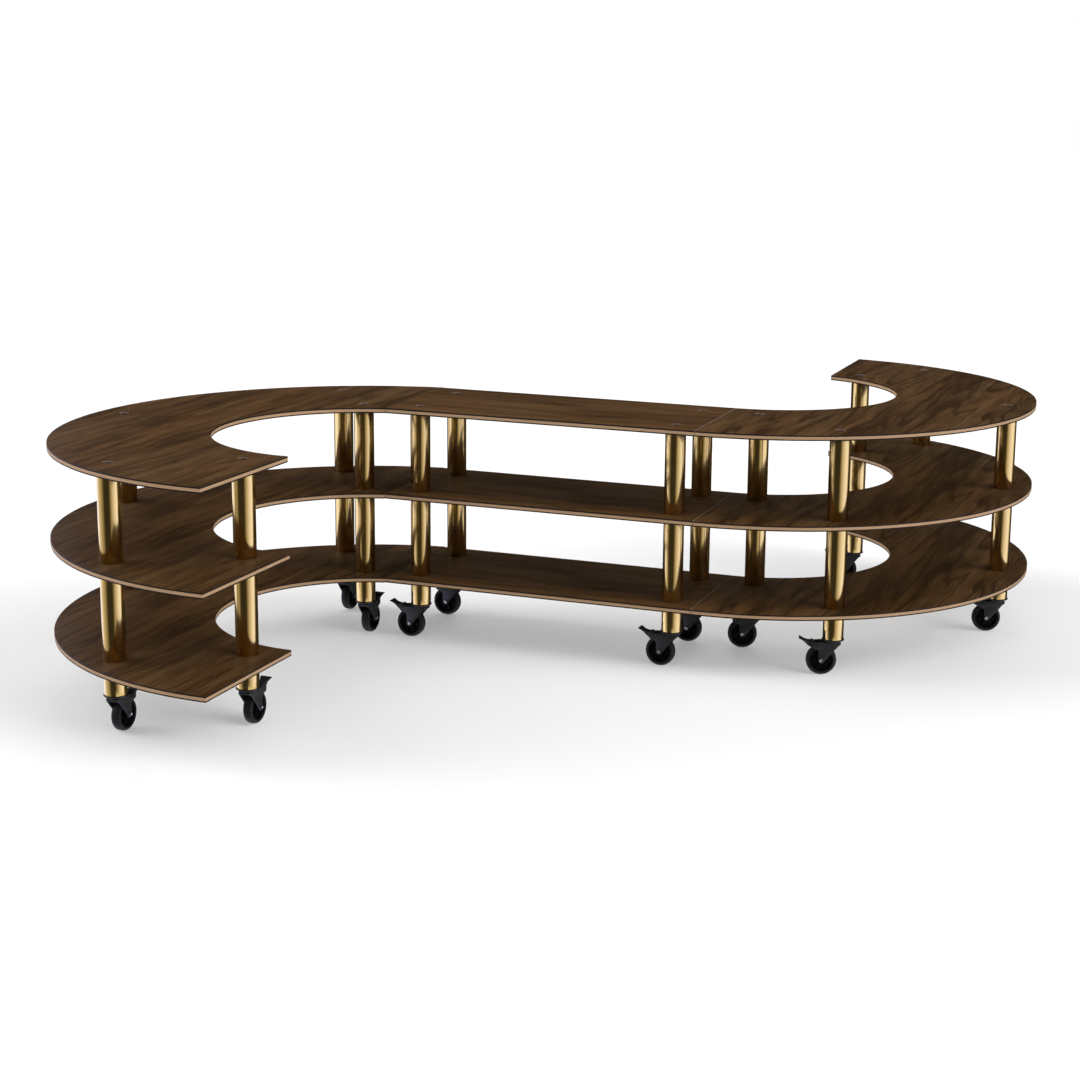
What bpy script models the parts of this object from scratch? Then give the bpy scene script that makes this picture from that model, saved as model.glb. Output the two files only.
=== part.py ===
"""Serpentine buffet serving station: two half-ring trolleys docked to a straight one.

Metres, +Z up. X runs along the straight trolley and Y across it. The origin lies on the
floor, under the middle of the station's outline. Each trolley has three boards held apart
by tubular columns, and every column stands on a swivel castor.
"""

import math
from dataclasses import dataclass

import bmesh
import bpy
from mathutils import Matrix

# Boards
BOARD_THICKNESS = 0.020
BOARD_WIDTH = 0.547
STRAIGHT_LENGTH = 1.220
RING_INNER_RADIUS = 0.5065
RING_FAR_END_TRIM = 0.137
SEAM_GAP = 0.002

# Columns: where they stand on the boards
POST_EDGE_INSET = 0.102
STRAIGHT_POST_END_INSET = 0.1015
RING_POST_END_INSET = 0.114
OUTER_POST_ANGLE = math.radians(60)

# Columns: tubes, end caps and the tie rod through them
POST_LENGTH = 0.309
FOOT_LENGTH = 0.096
POST_DIAMETER = 0.076
POST_WALL = 0.002
END_CAP_THICKNESS = 0.004
TIE_ROD_DIAMETER = 0.012
HEAD_DIAMETER = 0.034
HEAD_THICKNESS = 0.004
HEAD_RECESS = 0.0025
CASTOR_PLATE_DIAMETER = 0.082
CASTOR_PLATE_THICKNESS = 0.004
KINGPIN_DIAMETER = 0.012

# Castors: wheel
WHEEL_DIAMETER = 0.112
WHEEL_WIDTH = 0.034
WHEEL_TRAIL = 0.041
TYRE_SHOULDER = 0.006
AXLE_DIAMETER = 0.008
AXLE_HEAD_DIAMETER = 0.014
AXLE_HEAD_THICKNESS = 0.005

# Castors: fork
FORK_SHEET = 0.003
FORK_FRONT = 0.029
CROWN_REAR = 0.048
CROWN_THICKNESS = 0.004
RACE_DIAMETER = 0.068
RACE_HEIGHT = 0.0055
AXLE_BOSS_RADIUS = 0.0115
LEG_WAIST_BEHIND_AXLE = 0.013
LEG_WAIST_ABOVE_AXLE = 0.028
CHEEK_REACH = 0.009
CHEEK_DEPTH = 0.018

# Castors: brake pedal
PEDAL_WIDTH = 0.034
PEDAL_PIVOT_BEHIND_AXLE = 0.030
PEDAL_PIN_DIAMETER = 0.006
PEDAL_REACH = 0.051
PEDAL_RISE = 0.014
PEDAL_TAIL = 0.008
PEDAL_ROOT_HALF_DEPTH = 0.0055
PEDAL_TIP_DEPTH = 0.004
PEDAL_RIB_HEIGHT = 0.004

# Clearances
FIT_GAP = 0.0003
HOLE_CLEARANCE = 0.0008
SWIVEL_GAP = 0.0005
WHEEL_SIDE_GAP = 0.004
WHEEL_TOP_GAP = 0.010
PEDAL_GAP = 0.0005

# Facets
COLUMN_SIDES = 10
WHEEL_SIDES = 16
SMALL_SIDES = 6
RING_QUARTER_STEPS = 12
SMOOTH_ANGLE = math.radians(40)
MERGE_DISTANCE = 0.00001
CUT_OVERSHOOT = 0.010
WELD_DEPTH = 0.0005

# The ring boards are as wide as the straight one
RING_OUTER_RADIUS = RING_INNER_RADIUS + BOARD_WIDTH

# Heights, from the floor up
AXLE_HEIGHT = WHEEL_DIAMETER / 2
CROWN_UNDERSIDE = WHEEL_DIAMETER + WHEEL_TOP_GAP
CROWN_TOP = CROWN_UNDERSIDE + CROWN_THICKNESS
RACE_TOP = CROWN_TOP + RACE_HEIGHT
CASTOR_PLATE_UNDERSIDE = RACE_TOP + SWIVEL_GAP
FOOT_UNDERSIDE = CASTOR_PLATE_UNDERSIDE + CASTOR_PLATE_THICKNESS
BOTTOM_BOARD_UNDERSIDE = FOOT_UNDERSIDE + FOOT_LENGTH
BOTTOM_BOARD_TOP = BOTTOM_BOARD_UNDERSIDE + BOARD_THICKNESS
TIER_PITCH = POST_LENGTH + BOARD_THICKNESS
MIDDLE_BOARD_TOP = BOTTOM_BOARD_TOP + TIER_PITCH
TOP_BOARD_TOP = MIDDLE_BOARD_TOP + TIER_PITCH
TIERS = {"bottom": BOTTOM_BOARD_TOP, "middle": MIDDLE_BOARD_TOP, "top": TOP_BOARD_TOP}

# Fork and pedal, from the swivel axis and across the wheel
FORK_INNER_HALF = WHEEL_WIDTH / 2 + WHEEL_SIDE_GAP
FORK_OUTER_HALF = FORK_INNER_HALF + FORK_SHEET
PEDAL_PIVOT_X = WHEEL_TRAIL + PEDAL_PIVOT_BEHIND_AXLE
PEDAL_PIVOT_Z = CROWN_UNDERSIDE - PEDAL_GAP - PEDAL_ROOT_HALF_DEPTH


@dataclass
class Ring:
    """A half ring that bulges to +X or -X, with its far end trimmed short of the half."""

    centre_x: float
    centre_y: float
    bulge: int

    def point(self, radius, angle):
        """Angle 0 is the bulge's middle, and the near end is at minus a quarter turn."""
        x = self.centre_x + self.bulge * radius * math.cos(angle)
        return x, self.centre_y + radius * math.sin(angle)

    def end_angle(self, radius, beyond_centre):
        """Where a circle meets a line parallel to the end faces."""
        return math.acos(beyond_centre / radius)

    def arc(self, radius):
        near_step = math.pi / 2 / RING_QUARTER_STEPS
        far_step = self.end_angle(radius, RING_FAR_END_TRIM) / RING_QUARTER_STEPS
        near = [near_step * i for i in range(-RING_QUARTER_STEPS, 0)]
        far = [far_step * i for i in range(RING_QUARTER_STEPS + 1)]
        return [self.point(radius, angle) for angle in near + far]

    def columns(self):
        """Three columns along the outer edge, and one near each end of the inner edge."""
        outer = RING_OUTER_RADIUS - POST_EDGE_INSET
        inner = RING_INNER_RADIUS + POST_EDGE_INSET
        near = -self.end_angle(inner, RING_POST_END_INSET)
        far = self.end_angle(inner, RING_FAR_END_TRIM + RING_POST_END_INSET)
        return {
            "near_outer": self.point(outer, -OUTER_POST_ANGLE),
            "near_inner": self.point(inner, near),
            "middle_outer": self.point(outer, 0),
            "far_outer": self.point(outer, OUTER_POST_ANGLE),
            "far_inner": self.point(inner, far),
        }


def chord_reach(radius):
    """How far a ring's circle lies from the centre, along the trimmed far end."""
    return math.sqrt(radius**2 - RING_FAR_END_TRIM**2)


def station_layout():
    """The two rings and the straight trolley's centre, about the outline's middle."""
    left_x = -STRAIGHT_LENGTH / 2 - SEAM_GAP + RING_FAR_END_TRIM
    left_y = -(chord_reach(RING_OUTER_RADIUS) + chord_reach(RING_INNER_RADIUS)) / 2
    right_x = STRAIGHT_LENGTH / 2 + SEAM_GAP
    right_y = (RING_OUTER_RADIUS + RING_INNER_RADIUS) / 2
    middle_x = (left_x + right_x) / 2
    middle_y = (left_y - RING_OUTER_RADIUS + right_y + chord_reach(RING_OUTER_RADIUS)) / 2
    left = Ring(left_x - middle_x, left_y - middle_y, -1)
    right = Ring(right_x - middle_x, right_y - middle_y, 1)
    return left, right, (-middle_x, -middle_y)


def straight_columns(centre):
    x = STRAIGHT_LENGTH / 2 - STRAIGHT_POST_END_INSET
    y = BOARD_WIDTH / 2 - POST_EDGE_INSET
    return {
        "front_left": (centre[0] - x, centre[1] - y),
        "front_right": (centre[0] + x, centre[1] - y),
        "back_left": (centre[0] - x, centre[1] + y),
        "back_right": (centre[0] + x, centre[1] + y),
    }


# Which way each trolley's castors trail at rest, and which castors have a brake
CASTOR_HEADINGS = {"left": math.radians(90), "centre": math.radians(180), "right": math.radians(196)}
BRAKED_CASTORS = {
    "left": {"near_outer", "near_inner", "far_inner"},
    "centre": {"front_left", "front_right"},
    "right": {"near_outer", "middle_outer", "far_outer", "far_inner"},
}


def clear_scene():
    for obj in list(bpy.data.objects):
        bpy.data.objects.remove(obj, do_unlink=True)


def finish(name, color, roughness, metallic):
    material = bpy.data.materials.new(name)
    material.use_nodes = True
    shader = material.node_tree.nodes["Principled BSDF"]
    shader.inputs["Base Color"].default_value = (*color, 1)
    shader.inputs["Roughness"].default_value = roughness
    shader.inputs["Metallic"].default_value = metallic
    return material


def make_finishes():
    return {
        "walnut": finish("walnut_board", (0.075, 0.042, 0.023), 0.45, 0.0),
        "brass": finish("polished_brass", (0.62, 0.45, 0.17), 0.18, 1.0),
        "steel": finish("black_pressed_steel", (0.022, 0.022, 0.023), 0.45, 0.4),
        "rubber": finish("black_tyre", (0.016, 0.015, 0.015), 0.6, 0.0),
    }


def mesh_from(bm, name):
    bmesh.ops.remove_doubles(bm, verts=bm.verts, dist=MERGE_DISTANCE)
    bmesh.ops.recalc_face_normals(bm, faces=bm.faces)
    mesh = bpy.data.meshes.new(name)
    bm.to_mesh(mesh)
    bm.free()
    return mesh


def place(name, mesh, material=None, parent=None, location=(0, 0, 0)):
    obj = bpy.data.objects.new(name, mesh)
    bpy.context.scene.collection.objects.link(obj)
    obj.location = location
    obj.parent = parent
    if material and not mesh.materials:
        mesh.materials.append(material)
    return obj


def shade_round(mesh):
    mesh.shade_smooth()
    mesh.set_sharp_from_angle(angle=SMOOTH_ANGLE)


def empty(name, location=(0, 0, 0), turn=0.0):
    obj = place(name, None, location=location)
    obj.rotation_euler = (0, 0, turn)
    return obj


def turned(name, profile, sides, closed=False):
    """A profile of (radius, height) points spun about Z. A closed profile leaves a bore."""
    bm = bmesh.new()
    points = [bm.verts.new((radius, 0, height)) for radius, height in profile]
    pairs = list(zip(points, points[1:]))
    if closed:
        pairs.append((points[-1], points[0]))
    lines = [bm.edges.new(pair) for pair in pairs]
    bmesh.ops.spin(
        bm,
        geom=points + lines,
        cent=(0, 0, 0),
        axis=(0, 0, 1),
        angle=2 * math.pi,
        steps=sides,
        use_merge=True,
    )
    return mesh_from(bm, name)


def laid_on_side(mesh):
    """Turns a mesh that was spun about Z so that its axis lies along Y."""
    mesh.transform(Matrix.Rotation(math.pi / 2, 4, "X"))
    return mesh


def extruded_side(name, outline, half_width):
    """A side outline of (x, z) points, thickened to both sides of the XZ plane."""
    bm = bmesh.new()
    side = bm.faces.new([bm.verts.new((x, -half_width, z)) for x, z in outline])
    raised = bmesh.ops.extrude_face_region(bm, geom=[side])["geom"]
    moved = [item for item in raised if isinstance(item, bmesh.types.BMVert)]
    bmesh.ops.translate(bm, verts=moved, vec=(0, 2 * half_width, 0))
    return mesh_from(bm, name)


def rod_mesh(name, radius, half_length, sides):
    profile = [(0, half_length), (radius, half_length), (radius, -half_length), (0, -half_length)]
    return turned(name, profile, sides)


def helper(name, mesh):
    """A cutter, or a shape to be joined: it isn't a piece of its own."""
    obj = place(name, mesh)
    obj.hide_render = True
    obj.display_type = "WIRE"
    return obj


def combine(obj, other, operation):
    modifier = obj.modifiers.new(operation.lower(), "BOOLEAN")
    modifier.operation = operation
    modifier.solver = "EXACT"
    modifier.object = other


def baked(obj, name):
    """The evaluated mesh of a helper, which is removed along with what it was combined with."""
    bpy.context.view_layer.update()
    graph = bpy.context.evaluated_depsgraph_get()
    mesh = bpy.data.meshes.new_from_object(obj.evaluated_get(graph))
    mesh.name = name
    used = [modifier.object for modifier in obj.modifiers]
    for unwanted in [obj, *used]:
        bpy.data.objects.remove(unwanted, do_unlink=True)
    return mesh


def thickened_board(bm, name, top):
    """Lowers a flat face or strip of faces by the board's thickness."""
    lowered = bmesh.ops.extrude_face_region(bm, geom=bm.faces[:])["geom"]
    moved = [item for item in lowered if isinstance(item, bmesh.types.BMVert)]
    bmesh.ops.translate(bm, verts=moved, vec=(0, 0, -BOARD_THICKNESS))
    bmesh.ops.translate(bm, verts=bm.verts, vec=(0, 0, top))
    return mesh_from(bm, name)


def ring_board(name, ring, top):
    bm = bmesh.new()
    outer = [bm.verts.new((*point, 0)) for point in ring.arc(RING_OUTER_RADIUS)]
    inner = [bm.verts.new((*point, 0)) for point in ring.arc(RING_INNER_RADIUS)]
    for i in range(len(outer) - 1):
        bm.faces.new((outer[i], outer[i + 1], inner[i + 1], inner[i]))
    return thickened_board(bm, name, top)


def straight_board(name, centre, top):
    bm = bmesh.new()
    half_x, half_y = STRAIGHT_LENGTH / 2, BOARD_WIDTH / 2
    signs = ((-1, -1), (1, -1), (1, 1), (-1, 1))
    corners = [(centre[0] + i * half_x, centre[1] + j * half_y, 0) for i, j in signs]
    bm.faces.new([bm.verts.new(corner) for corner in corners])
    return thickened_board(bm, name, top)


def column_holes(name, columns, top, countersunk):
    """Cutters for the tie rods, with a wider seat for the heads in a top board."""
    bm = bmesh.new()
    rod_radius = TIE_ROD_DIAMETER / 2 + HOLE_CLEARANCE
    seat_radius = HEAD_DIAMETER / 2 + HOLE_CLEARANCE
    seat_floor = top - HEAD_RECESS - HEAD_THICKNESS - FIT_GAP
    above = top + CUT_OVERSHOOT
    below = top - BOARD_THICKNESS - CUT_OVERSHOOT
    profile = [(0, above), (rod_radius, above), (rod_radius, below), (0, below)]
    if countersunk:
        seat = [(seat_radius, above), (seat_radius, seat_floor), (rod_radius, seat_floor)]
        profile[1:2] = seat
    cutter = turned(name, profile, COLUMN_SIDES)
    for x, y in columns.values():
        copy = cutter.copy()
        copy.transform(Matrix.Translation((x, y, 0)))
        bm.from_mesh(copy)
        bpy.data.meshes.remove(copy)
    return mesh_from(bm, name)


def column_profile():
    """From the head in the top board down to the kingpin: rod, two posts, foot and plate."""
    rod = TIE_ROD_DIAMETER / 2
    outside = POST_DIAMETER / 2
    inside = outside - POST_WALL
    head = HEAD_DIAMETER / 2
    head_top = TOP_BOARD_TOP - HEAD_RECESS
    points = [(0, head_top), (head, head_top)]
    points += [(head, head_top - HEAD_THICKNESS), (rod, head_top - HEAD_THICKNESS)]
    for board_below in (MIDDLE_BOARD_TOP, BOTTOM_BOARD_TOP):
        post_top = board_below + POST_LENGTH - FIT_GAP
        post_foot = board_below + FIT_GAP
        cap_underside = post_top - END_CAP_THICKNESS
        points += [(rod, post_top), (outside, post_top), (outside, post_foot)]
        points += [(inside, post_foot), (inside, cap_underside), (rod, cap_underside)]
    foot_top = BOTTOM_BOARD_UNDERSIDE - FIT_GAP
    foot_floor = FOOT_UNDERSIDE + END_CAP_THICKNESS
    plate = CASTOR_PLATE_DIAMETER / 2
    kingpin = KINGPIN_DIAMETER / 2
    points += [(rod, foot_floor), (inside, foot_floor), (inside, foot_top)]
    points += [(outside, foot_top), (outside, FOOT_UNDERSIDE), (plate, FOOT_UNDERSIDE)]
    points += [(plate, CASTOR_PLATE_UNDERSIDE), (kingpin, CASTOR_PLATE_UNDERSIDE)]
    points += [(kingpin, CROWN_UNDERSIDE), (0, CROWN_UNDERSIDE)]
    return points


def fork_outline():
    """Side view of the pressed fork: crown, legs that taper to the axle, and pedal cheeks."""
    first, last, steps = math.radians(225), math.radians(325), 4
    turns = [first + (last - first) * i / steps for i in range(steps + 1)]
    boss = [
        (
            WHEEL_TRAIL + AXLE_BOSS_RADIUS * math.cos(turn),
            AXLE_HEIGHT + AXLE_BOSS_RADIUS * math.sin(turn),
        )
        for turn in turns
    ]
    cheek_end = PEDAL_PIVOT_X + CHEEK_REACH
    front = [(CROWN_REAR, CROWN_TOP), (-FORK_FRONT, CROWN_TOP), (-FORK_FRONT, CROWN_UNDERSIDE)]
    waist = (WHEEL_TRAIL + LEG_WAIST_BEHIND_AXLE, AXLE_HEIGHT + LEG_WAIST_ABOVE_AXLE)
    cheek = [(cheek_end, CROWN_UNDERSIDE - CHEEK_DEPTH), (cheek_end, CROWN_UNDERSIDE)]
    return front + boss + [waist] + cheek


def fork_slot():
    """The wheel's room under the crown, open above the pedal behind it."""
    far = WHEEL_TRAIL + WHEEL_DIAMETER
    high = CROWN_TOP + CUT_OVERSHOOT
    return [
        (-far, -CUT_OVERSHOOT),
        (far, -CUT_OVERSHOOT),
        (far, high),
        (CROWN_REAR, high),
        (CROWN_REAR, CROWN_UNDERSIDE),
        (-far, CROWN_UNDERSIDE),
    ]


def axle_mesh():
    """A bolt through both legs, with a head and a nut outside them."""
    shank, head = AXLE_DIAMETER / 2, AXLE_HEAD_DIAMETER / 2
    inner = FORK_OUTER_HALF - WELD_DEPTH
    outer = FORK_OUTER_HALF + AXLE_HEAD_THICKNESS
    profile = [(0, outer), (head, outer), (head, inner), (shank, inner)]
    profile += [(radius, -height) for radius, height in reversed(profile)]
    mesh = laid_on_side(turned("axle", profile, SMALL_SIDES))
    mesh.transform(Matrix.Translation((WHEEL_TRAIL, 0, AXLE_HEIGHT)))
    return mesh


def pedal_pin_mesh():
    half = FORK_INNER_HALF + FORK_SHEET / 2
    mesh = laid_on_side(rod_mesh("pedal_pin", PEDAL_PIN_DIAMETER / 2, half, SMALL_SIDES))
    mesh.transform(Matrix.Translation((PEDAL_PIVOT_X, 0, PEDAL_PIVOT_Z)))
    return mesh


def race_mesh():
    half = (RACE_HEIGHT + WELD_DEPTH) / 2
    mesh = rod_mesh("race", RACE_DIAMETER / 2, half, COLUMN_SIDES)
    mesh.transform(Matrix.Translation((0, 0, RACE_TOP - half)))
    return mesh


def kingpin_bore_mesh():
    radius = KINGPIN_DIAMETER / 2 + HOLE_CLEARANCE
    half = CROWN_THICKNESS + RACE_HEIGHT
    mesh = rod_mesh("kingpin_bore", radius, half, COLUMN_SIDES)
    mesh.transform(Matrix.Translation((0, 0, CROWN_TOP)))
    return mesh


def fork_mesh():
    """Its axle and pedal pin are fixed in it, and its origin is on the swivel axis."""
    body = helper("fork_body", extruded_side("fork_body", fork_outline(), FORK_OUTER_HALF))
    slot = extruded_side("fork_slot", fork_slot(), FORK_INNER_HALF)
    combine(body, helper("fork_slot", slot), "DIFFERENCE")
    combine(body, helper("fork_race", race_mesh()), "UNION")
    combine(body, helper("fork_bore", kingpin_bore_mesh()), "DIFFERENCE")
    combine(body, helper("fork_axle", axle_mesh()), "UNION")
    combine(body, helper("fork_pin", pedal_pin_mesh()), "UNION")
    return baked(body, "castor_fork")


def wheel_mesh():
    radius, half = WHEEL_DIAMETER / 2, WHEEL_WIDTH / 2
    bore = AXLE_DIAMETER / 2 + HOLE_CLEARANCE
    side = radius - TYRE_SHOULDER
    profile = [(bore, half), (side, half), (radius, half - TYRE_SHOULDER)]
    profile += [(across, -height) for across, height in reversed(profile)]
    return laid_on_side(turned("castor_wheel", profile, WHEEL_SIDES, closed=True))


def pedal_outline():
    """Side view about the pivot: a flat root, a gripping rib and an upturned tip."""
    root = PEDAL_ROOT_HALF_DEPTH
    reach, rise = PEDAL_REACH, PEDAL_RISE
    rib = reach / 8
    top = [(-PEDAL_TAIL, root), (rib - PEDAL_RIB_HEIGHT, root), (rib, root + PEDAL_RIB_HEIGHT)]
    top += [(rib + PEDAL_RIB_HEIGHT, root), (reach * 0.6, root + rise * 0.2)]
    tip = [(reach * 0.92, rise), (reach, rise - PEDAL_TIP_DEPTH / 2)]
    tip += [(reach * 0.92, rise - PEDAL_TIP_DEPTH)]
    under = [(reach * 0.7, rise * 0.1), (rib + PEDAL_TAIL, -root), (-PEDAL_TAIL, -root)]
    return top + tip + under


def pedal_mesh():
    body = helper("pedal_body", extruded_side("pedal_body", pedal_outline(), PEDAL_WIDTH / 2))
    bore = PEDAL_PIN_DIAMETER / 2 + HOLE_CLEARANCE
    hole = laid_on_side(rod_mesh("pedal_bore", bore, PEDAL_WIDTH, SMALL_SIDES))
    combine(body, helper("pedal_bore", hole), "DIFFERENCE")
    return baked(body, "brake_pedal")


def add_boards(module, make_board, plan, columns, finishes):
    """A trolley's three boards, drilled for the columns that stand on its plan."""
    for tier, top in TIERS.items():
        name = f"{module}_{tier}_shelf"
        board = place(name, make_board(name, plan, top), finishes["walnut"])
        cutter_name = f"{name}_holes"
        holes = column_holes(cutter_name, columns, top, countersunk=tier == "top")
        combine(board, helper(cutter_name, holes), "DIFFERENCE")


def add_castor(label, spot, heading, braked, meshes, finishes):
    """A fork that swivels under its column, its wheel, and on some a brake pedal."""
    swivel = empty(f"{label}_swivel", (*spot, 0), heading)
    place(f"{label}_fork", meshes["fork"], finishes["steel"], swivel)
    axle = (WHEEL_TRAIL, 0, AXLE_HEIGHT)
    place(f"{label}_wheel", meshes["wheel"], finishes["rubber"], swivel, axle)
    if braked:
        pivot = (PEDAL_PIVOT_X, 0, PEDAL_PIVOT_Z)
        place(f"{label}_pedal", meshes["pedal"], finishes["steel"], swivel, pivot)


def add_columns(module, columns, meshes, finishes):
    for corner, spot in columns.items():
        place(f"{module}_{corner}_column", meshes["column"], finishes["brass"], None, (*spot, 0))
        braked = corner in BRAKED_CASTORS[module]
        label = f"{module}_{corner}"
        add_castor(label, spot, CASTOR_HEADINGS[module], braked, meshes, finishes)


def main():
    clear_scene()
    finishes = make_finishes()
    meshes = {
        "column": turned("column", column_profile(), COLUMN_SIDES),
        "fork": fork_mesh(),
        "wheel": wheel_mesh(),
        "pedal": pedal_mesh(),
    }
    for mesh in meshes.values():
        shade_round(mesh)
    left, right, centre = station_layout()
    for module, ring in (("left", left), ("right", right)):
        columns = ring.columns()
        add_boards(module, ring_board, ring, columns, finishes)
        add_columns(module, columns, meshes, finishes)
    columns = straight_columns(centre)
    add_boards("centre", straight_board, centre, columns, finishes)
    add_columns("centre", columns, meshes, finishes)


main()
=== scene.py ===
"""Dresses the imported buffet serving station: boards, columns, castors and a white studio."""

from math import atan2, copysign, cos, pi, radians, sin, sqrt

import bmesh
import bpy
from bmesh.types import BMEdge, BMFace, BMVert
from mathutils import Matrix, Vector


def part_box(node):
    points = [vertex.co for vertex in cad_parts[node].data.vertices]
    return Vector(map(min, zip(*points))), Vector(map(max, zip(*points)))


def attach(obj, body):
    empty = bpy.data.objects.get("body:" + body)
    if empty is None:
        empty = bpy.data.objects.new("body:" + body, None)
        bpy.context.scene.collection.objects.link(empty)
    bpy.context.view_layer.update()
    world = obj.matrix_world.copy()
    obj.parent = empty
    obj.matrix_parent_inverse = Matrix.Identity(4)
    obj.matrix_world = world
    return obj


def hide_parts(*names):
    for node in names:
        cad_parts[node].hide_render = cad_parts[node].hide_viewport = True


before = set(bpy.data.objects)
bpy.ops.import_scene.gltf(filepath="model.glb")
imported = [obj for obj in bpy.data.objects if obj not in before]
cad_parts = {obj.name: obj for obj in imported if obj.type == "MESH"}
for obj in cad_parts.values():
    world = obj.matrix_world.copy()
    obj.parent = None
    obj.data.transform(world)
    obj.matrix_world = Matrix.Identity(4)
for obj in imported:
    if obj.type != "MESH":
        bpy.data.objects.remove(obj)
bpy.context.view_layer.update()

bl_info = {
    "name": "Buffet serving station",
    "version": (1, 0, 0),
    "blender": (4, 5, 0),
    "location": "View3D > Sidebar > Buffet",
    "description": "Builds the boards, columns and castors of a serpentine buffet station",
    "category": "Object",
}

TIERS = ("top", "middle", "bottom")
COLUMNS = {
    "left": ("near_outer", "near_inner", "middle_outer", "far_outer", "far_inner"),
    "centre": ("front_left", "front_right", "back_left", "back_right"),
    "right": ("near_outer", "near_inner", "middle_outer", "far_outer", "far_inner"),
}
SHARP = radians(32)
MERGE = 0.000005
ARC_STEPS = 6
WHITE = (1, 1, 1, 1)

# Where a board's finishes stand in its list, after the walnut.
LAYER, CORE, SEAT, SEAM_PAINTED_HIGHLIGHT = 1, 2, 3, 4
# The seam's finish is a painted highlight: board ends within this reach of the right-hand seam take a
# pale grey for the light line along it.
SEAM_REACH = 0.004
# Each trolley's grain: turn, wander, boldness, share of growth lines, share of the dark stripe.
GRAINS = {
    "left": (0.0, 0.14, 1.35, 0.40, 0.0),
    "centre": (pi / 2, 0.10, 1.15, 0.32, 0.0),
    "right": (radians(2), 0.09, 1.15, 0.60, 0.14),
}
STRIPE_AT = 1.17

HUB_RIBS = 6
RING_DEPTH = 0.0008
NEAR = 0.0001

FLOOR_REACH = 60
SENSOR_WIDTH = 36
CLIP_END = 200
# Each lamp's strength setting, with its name, the way that it shines and its spread in degrees.
LAMPS = {
    "key": ("key_light", (-0.93, 0.10, -0.33), 50),
    "fill": ("fill_light", (0.95, 0.16, -0.27), 50),
    "key_high": ("high_key_light", (-0.70, 0.10, -0.71), 40),
    "fill_high": ("high_fill_light", (0.70, 0.10, -0.71), 40),
    "front": ("front_light", (0, 0.94, -0.34), 50),
    "back": ("back_light", (0.15, -0.85, -0.50), 50),
}
# The screen's plan, with the setting that gives its brightness at each point.
SCREEN_PLAN = (
    (-3.0, 2.9, "dark"),
    (-3.6, 1.0, "dark"),
    (-3.5, 0.2, "left"),
    (-2.94, -1.3, "left"),
    (-2.5, -1.89, "soft"),
    (-1.46, -3.27, "dark"),
    (4.4, -9.2, "dark"),
    (7.6, -4.0, "soft"),
    (8.5, 0.3, "right"),
    (8.4, 2.9, "right"),
    (7.1, 5.0, "dark"),
    (2.5, 7.0, "dark"),
    (-2.5, 6.0, "dark"),
)
SCREEN_FOOT, SCREEN_BRIGHT_TO, SCREEN_FADE, SCREEN_RISE = -6.0, 2.6, 0.3, 20.0
WARM_BELOW, COOL_ABOVE = 0.3, 2.1


def length(name, description, default):
    return bpy.props.FloatProperty(
        name=name, description=description, default=default, min=0, unit="LENGTH", precision=5
    )


def colour(name, thing, default):
    description = f"Colour of the {thing}"
    return bpy.props.FloatVectorProperty(
        name=name, description=description, default=default, subtype="COLOR", size=3, min=0, max=1
    )


def share(name, description, default):
    return bpy.props.FloatProperty(
        name=name, description=description, default=default, min=0, max=1, subtype="FACTOR"
    )


def power(name, thing, default):
    description = f"Strength of the {thing}"
    return bpy.props.FloatProperty(name=name, description=description, default=default, min=0)


def rotation(name, description, default):
    return bpy.props.FloatProperty(
        name=name, description=description, default=default, subtype="ANGLE"
    )


class BoardSettings(bpy.types.PropertyGroup):
    """Sizes and colours of the boards."""

    face_layer: length("Face layer", "Dark layer on the upper face", 0.0055)
    under_layer: length("Under layer", "Dark layer on the lower face", 0.0046)
    edge_round: length("Edge rounding", "Rounding of the faces' edges", 0.0006)
    ring_steps: bpy.props.IntProperty(
        name="Ring steps", description="Steps in a half ring", default=120, min=24
    )
    seat_depth: length("Seat depth", "Depth of the bolt heads' seats", 0.0068)
    seat_gap: length("Seat gap", "Room around a bolt head", 0.0008)
    walnut_mid: colour("Walnut", "faces between their streaks", (0.0720, 0.0361, 0.0126))
    walnut_dark: colour("Dark grain", "dark streaks", (0.0350, 0.0169, 0.0065))
    walnut_pale: colour("Pale grain", "pale streaks", (0.112, 0.0582, 0.0228))
    core: colour("Core", "core that shows on the edges", (0.46, 0.295, 0.172))
    layer_edge: colour("Layer edge", "face layers' edges", (0.016, 0.012, 0.009))
    seat_wall: colour("Seat wall", "walls of the bolt heads' seats", (0.26, 0.20, 0.18))
    # A painted highlight: a pale grey on the board ends at the right-hand seam, for the light line
    # along it.
    seam: colour("Seam", "board ends at the right-hand seam", (0.26, 0.23, 0.21))


class ColumnSettings(bpy.types.PropertyGroup):
    """Sizes and colours of the columns."""

    tube_radius: length("Tube radius", "Outer radius of the brass tube", 0.038)
    wall: length("Tube wall", "Wall of the brass tube", 0.002)
    end_round: length("End rounding", "Rounding of the tube's ends", 0.0008)
    fit_gap: length("Fit gap", "Gap between a tube's end and a board", 0.0003)
    head_radius: length("Bolt head radius", "Radius of the bolt heads", 0.017)
    head_depth: length("Bolt head depth", "Depth of the bolt heads", 0.004)
    head_recess: length("Bolt head recess", "How far a head lies below the board", 0.0025)
    plate_radius: length("Castor plate radius", "Radius of the plate under the foot", 0.041)
    plate_depth: length("Castor plate depth", "Depth of the plate under the foot", 0.004)
    brass: colour("Brass", "tubes", (0.68, 0.465, 0.17))
    brass_gloss: share("Brass roughness", "Mean roughness of the tubes", 0.16)
    head_steel: colour("Bolt head", "bolt heads", (0.15, 0.115, 0.09))


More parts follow.
